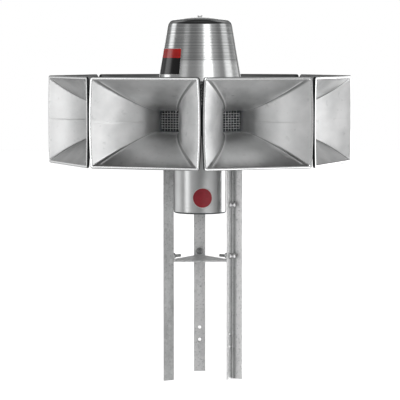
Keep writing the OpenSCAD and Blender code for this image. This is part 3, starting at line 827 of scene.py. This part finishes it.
HOOD_FILM_TURNS = (-84.0, -30.4)
HOOD_FILM_LOW, HOOD_FILM_SPLIT, HOOD_FILM_HIGH = 819.0, 891.0, 932.0
HOOD_BORDER_TURN, HOOD_BORDER_W = 0.6, 1.5
HOOD_FILM_LIFT, HOOD_BAND_LIFT, HOOD_FILM_T = 0.15, 0.35, 0.25
MOTOR_FILM_TURN, MOTOR_FILM_Z, MOTOR_FILM_R, MOTOR_BORDER_W = 5.0, 282.0, 45.0, 3.0
MOTOR_FILM_LIFT, MOTOR_DISC_LIFT, MOTOR_FILM_T = 0.15, 0.4, 0.3


def hood_film(border, low, high, lift):
    """A thin patch wrapped on the hood's cone between two directions and two heights."""
    turn = np.radians(np.linspace(HOOD_FILM_TURNS[0] + border, HOOD_FILM_TURNS[1] - border, 25))
    z = np.linspace(low, high, 7)
    radius = HOOD_RIM_R - (z - HOOD_RIM_Z) * math.tan(HOOD_TAPER)
    skins = []
    for off in (lift, lift + HOOD_FILM_T):
        r = (radius + off)[:, None]
        skins.append(np.stack([r * np.sin(turn), -r * np.cos(turn), z[:, None] + 0 * turn], axis=-1))
    return closed_slab(skins)


def motor_film(radius, lift):
    """A thin round patch wrapped on the motor's shell: rings of points about its middle."""
    out = np.linspace(0, 1, 7)[:, None] * radius
    angle = 2 * np.pi * np.arange(48) / 48
    side = math.radians(MOTOR_FILM_TURN) + out * np.cos(angle) / MOTOR_R
    z = MOTOR_FILM_Z + out * np.sin(angle)
    rings = []
    for off, order in ((lift, slice(None)), (lift + MOTOR_FILM_T, slice(None, None, -1))):
        r = MOTOR_R + off
        rings.append(np.stack([r * np.sin(side), -r * np.cos(side), z], axis=-1)[order])
    points = np.concatenate(rings)
    return points.reshape(-1, 3), grid_faces(*points.shape[:2], False, True)


# The dressed siren

HORN_METAL = horn_aluminium()
HOOD_METAL = spun_aluminium()
MOTOR_METAL = motor_steel()
PLATE_METAL = grey_steel()
CAST_METAL = cast_housing()
BOLT_METAL = zinc_hardware()
BRIGHT_METAL = bright_zinc_hardware()
WIRE_METAL = weathered_wire()
FRESH_ZINC = ("#dcdddd", "#f2f2f2", "#fafafa")
# Greyer zinc tones for the left leg: painted shade on that leg
SHADED_LEG_ZINC = ("#a8a9a9", "#c0c1c1", "#d2d3d3")
CHALKY_ZINC = ("#c4c5c5", "#eaebeb", "#f8f8f8")
LEG_METALLIC, LEG_RELIEF = 0.8, 0.8
CHALKY_METALLIC, CHALKY_RELIEF = 0.15, 16.0
DUCT_EASE, HOUSING_EASE, PLATE_EASE = 1.2, 2.5, 0.8

(horn, finish_shares), bolts = horn_shell(), flange_bolts()
wires, rim = woven_wires(), screen_frame()
for k in range(1, HORN_COUNT + 1):
    turn = (k - 0.5) * HORN_TURN
    made(f"horn_bell_{k}", outward(horn, FLARE_START, HORN_Z, turn), HORN_METAL, "horn_aluminium",
         f"horn_{k}", **finish_shares)
    made(f"woven_screen_{k}", outward(wires, SCREEN_BACK, HORN_Z, turn), WIRE_METAL, "dark_wire",
         f"throat_screen_{k}")
    made(f"screen_frame_{k}", outward(rim, SCREEN_BACK, HORN_Z, turn), CAST_METAL, "cast_housing")
    made(f"flange_bolts_{k}", outward(bolts, SCREEN_BACK, HORN_Z, turn), BOLT_METAL, "zinc_hardware")
    softened(f"duct_{k}", DUCT_EASE, CAST_METAL)

made("spun_hood", revolved(hood_profile(), ROUND_SIDES, True), HOOD_METAL, "spun_aluminium", "hood")
made("crown_wing_nut", wing_nut(), BRIGHT_METAL, "zinc_hardware", "hood_wing_nut")
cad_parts["hood_stud"].material_slots[0].material = BOLT_METAL
for k, side in enumerate(("front", "right", "back", "left")):
    made(f"post_{side}", turned(hood_post(), 90 * k), BOLT_METAL, "zinc_hardware", f"hood_post_{side}")
made("guard_cage", guard_cage(), WIRE_METAL, "dark_wire", "intake_guard")

made("motor_case", revolved(motor_shell_profile(), ROUND_SIDES, True), MOTOR_METAL, "motor_steel",
     "motor_shell")
made("motor_dish", revolved(motor_cover_profile(), ROUND_SIDES), CAST_METAL, "cast_housing",
     "motor_end_cover")

softened("chopper_housing", HOUSING_EASE, CAST_METAL)
for node in ("hood_spider", "top_plate", "base_plate"):
    softened(node, PLATE_EASE, PLATE_METAL)
chalky_metal = galvanised_steel("chalky_galvanised_steel", CHALKY_METALLIC, CHALKY_ZINC, CHALKY_RELIEF)
softened("spreader_plate", PLATE_EASE, chalky_metal)
for side, turn in LEG_TURNS.items():
    # The left leg's greyer tones are painted shade.
    zinc = SHADED_LEG_ZINC if side == "left" else FRESH_ZINC
    metal = galvanised_steel(f"galvanised_steel_{side}", LEG_METALLIC, zinc, LEG_RELIEF, turn)
    leg = softened(f"leg_{side}", PLATE_EASE, metal)
    nuts = made(f"leg_nuts_{side}", leg_nuts(turn), BOLT_METAL, "zinc_hardware")
    caps = made(f"leg_caps_{side}", leg_caps(turn), BRIGHT_METAL, "zinc_hardware")
    # The motor stands close to the left leg and would mirror its dark inside as a wide band.
    for piece in (leg, nuts, caps):
        piece.visible_glossy = side != "left"
made("plate_bolts", plate_bolts(), BOLT_METAL, "zinc_hardware")

PALE_FILM = film("pale_film", "#dcdcda", "#e9e9e7", 0.35)
RED_FILM = film("red_film", "#d81410", "#e61a13", 0.14)
BLACK_FILM = film("black_film", "#070708", "#0c0c0d", 0.14)
DEEP_RED_FILM = film("deep_red_film", "#a01a2a", "#ae1e2f", 0.45)
made("hood_film_border", hood_film(0, HOOD_FILM_LOW, HOOD_FILM_HIGH, HOOD_FILM_LIFT), PALE_FILM)
made("hood_film_upper", hood_film(HOOD_BORDER_TURN, HOOD_FILM_SPLIT, HOOD_FILM_HIGH - HOOD_BORDER_W,
                                  HOOD_BAND_LIFT), RED_FILM)
made("hood_film_lower", hood_film(HOOD_BORDER_TURN, HOOD_FILM_LOW + HOOD_BORDER_W, HOOD_FILM_SPLIT,
                                  HOOD_BAND_LIFT), BLACK_FILM)
made("motor_film_border", motor_film(MOTOR_FILM_R, MOTOR_FILM_LIFT), PALE_FILM)
made("motor_film_middle", motor_film(MOTOR_FILM_R - MOTOR_BORDER_W, MOTOR_DISC_LIFT), DEEP_RED_FILM)


# Stage: floor, light and camera

FLOOR_Z = cad_box[0].z
FLOOR_SIZE, FLOOR_LINES = 40.0, 9
FLOOR_GLOW = 0.95


def floor():
    """A flat pale sheet under the legs that glows, so that it stays light, and that the metal does not
    mirror."""
    side = np.linspace(-FLOOR_SIZE / 2, FLOOR_SIZE / 2, FLOOR_LINES)
    x, y = np.meshgrid(side, side, indexing="ij")
    points = np.stack([x, y, 0 * x + FLOOR_Z], axis=-1).reshape(-1, 3)
    mesh = bpy.data.meshes.new("floor")
    mesh.from_pydata(points.tolist(), [], grid_faces(FLOOR_LINES, FLOOR_LINES).tolist())
    material, *_ = begun("pale_floor", Base_Color=linear("#e6e6e6"), Roughness=0.9,
                         Emission_Color=linear("#ffffff"), Emission_Strength=FLOOR_GLOW)
    mesh.materials.append(material)
    sheet = bpy.data.objects.new("floor", mesh)
    bpy.context.scene.collection.objects.link(sheet)
    sheet.visible_glossy = False
    sheet.visible_diffuse = False


# Light of the room by height over the level, in degrees
ROOM_LIGHT = ((-90, 0.45), (-65, 0.40), (-45, 0.20), (-28, 0.30), (-14, 0.38), (0, 0.36),
              (6, 0.32), (26, 0.31), (34, 0.05), (60, 0.04), (90, 0.14))
# The dark wall behind: where it starts to the side, in degrees, the share of light left on it below and
# above, and the heights between which that changes
DARK_WALL_START, DARK_WALL_FULL = 140.0, 152.0
LOW_WALL_LIGHT, HIGH_WALL_LIGHT = 0.12, 0.6
WALL_CHANGE_FROM, WALL_CHANGE_TO = -2.0, 8.0

# Soft boxes: direction from the camera's side, in degrees to the right, half width, height of the middle,
# half height, width of the soft edge, and strength
SOFT_BOXES = (
    (24, 12, 15, 8, 5, 3.0),
    (26, 30, 18, 8, 12, 0.45),
    (-60, 9, -4, 6, 5, 2.8),
    (-36, 20, -13, 14, 8, 0.3),
    (-114, 28, -12, 15, 6, 0.5),
    (116, 27, -12, 15, 6, 2.6),
    (41, 20, -20, 10, 4, 1.7),
    (-110, 12, 12, 12, 5, 1.5),
    (-47, 9, 10, 11, 6, 0.5),
    (93, 13, 13, 12, 5, 0.9),
    (-135, 25, 46, 14, 6, 0.4),
    (135, 25, 46, 14, 6, 0.5),
    (180, 18, 7, 6, 4, 2.2),
)


def studio_light():
    """A dim room with soft boxes, as radiance over direction: the room's light by height, dimmed by the
    wall behind, and for each box the product of two soft-edged windows. What the camera sees beyond the
    siren is a white backdrop."""
    world = bpy.data.worlds.new("studio")
    bpy.context.scene.world = world
    world.use_nodes = True
    tree = world.node_tree
    tree.nodes.remove(tree.nodes["Background"])

    x, y, z = add(tree, "SeparateXYZ", [add(tree, "TexCoord", out="Generated")]).node.outputs
    front = add(tree, "Math", [y, -1.0], operation="MULTIPLY")
    turn = add(tree, "Math", [add(tree, "Math", [x, front], operation="ARCTAN2")], operation="DEGREES")
    rise = add(tree, "Math", [add(tree, "Math", [z], operation="ARCSINE")], operation="DEGREES")
    share = add(tree, "MapRange", [rise, -90.0, 90.0, 0.0, 1.0])
    stops = [((height + 90) / 180, (light, light, light, 1.0)) for height, light in ROOM_LIGHT]
    room = add(tree, "ValToRGB", [share], stops=stops)
    left = add(tree, "MapRange", [rise, WALL_CHANGE_FROM, WALL_CHANGE_TO, LOW_WALL_LIGHT, HIGH_WALL_LIGHT])
    away = add(tree, "Math", [turn], operation="ABSOLUTE")
    wall = add(tree, "MapRange", [away, DARK_WALL_START, DARK_WALL_FULL, 1.0, left])
    room = add(tree, "Math", [room, wall], operation="MULTIPLY")
    for side, half_width, height, half_height, soft, strength in SOFT_BOXES:
        level = add(tree, "Math", [turn, side], operation="SUBTRACT")
        level = add(tree, "Math", [level, 180.0, -180.0], operation="WRAP")
        upright = add(tree, "Math", [rise, height], operation="SUBTRACT")
        box = strength
        for off, half in ((level, half_width), (upright, half_height)):
            far = add(tree, "Math", [off], operation="ABSOLUTE")
            window = add(tree, "MapRange", [far, half + soft, half - soft, 0.0, 1.0],
                         interpolation_type="SMOOTHSTEP")
            box = add(tree, "Math", [window, box], operation="MULTIPLY")
        room = add(tree, "Math", [room, box], operation="ADD")
    light = add(tree, "Background", {"Color": "#ffffff", "Strength": room})
    backdrop = add(tree, "Background", {"Color": "#ffffff", "Strength": 1.0})
    seen = add(tree, "LightPath", out="Is Camera Ray")
    mixed = add(tree, "MixShader", [seen, light, backdrop])
    tree.links.new(mixed, tree.nodes["World Output"].inputs["Surface"])


CAMERA_DISTANCE, CAMERA_HEIGHT = 8.8, 0.916
CAMERA_TURN, CAMERA_PITCH = -0.6, 4.23
CAMERA_LENS = 180.0
CAMERA_REACH = 100.0


def camera():
    """A long lens a little above the horns, looking slightly down."""
    data = bpy.data.cameras.new("camera")
    data.lens = CAMERA_LENS
    data.clip_end = CAMERA_REACH
    seat = bpy.data.objects.new("camera", data)
    turn = math.radians(CAMERA_TURN)
    seat.location = (CAMERA_DISTANCE * math.sin(turn), -CAMERA_DISTANCE * math.cos(turn), CAMERA_HEIGHT)
    seat.rotation_euler = (math.radians(90 - CAMERA_PITCH), 0, turn)
    bpy.context.scene.collection.objects.link(seat)
    bpy.context.scene.camera = seat


floor()
studio_light()
camera()
bpy.context.scene.view_settings.view_transform = "Standard"
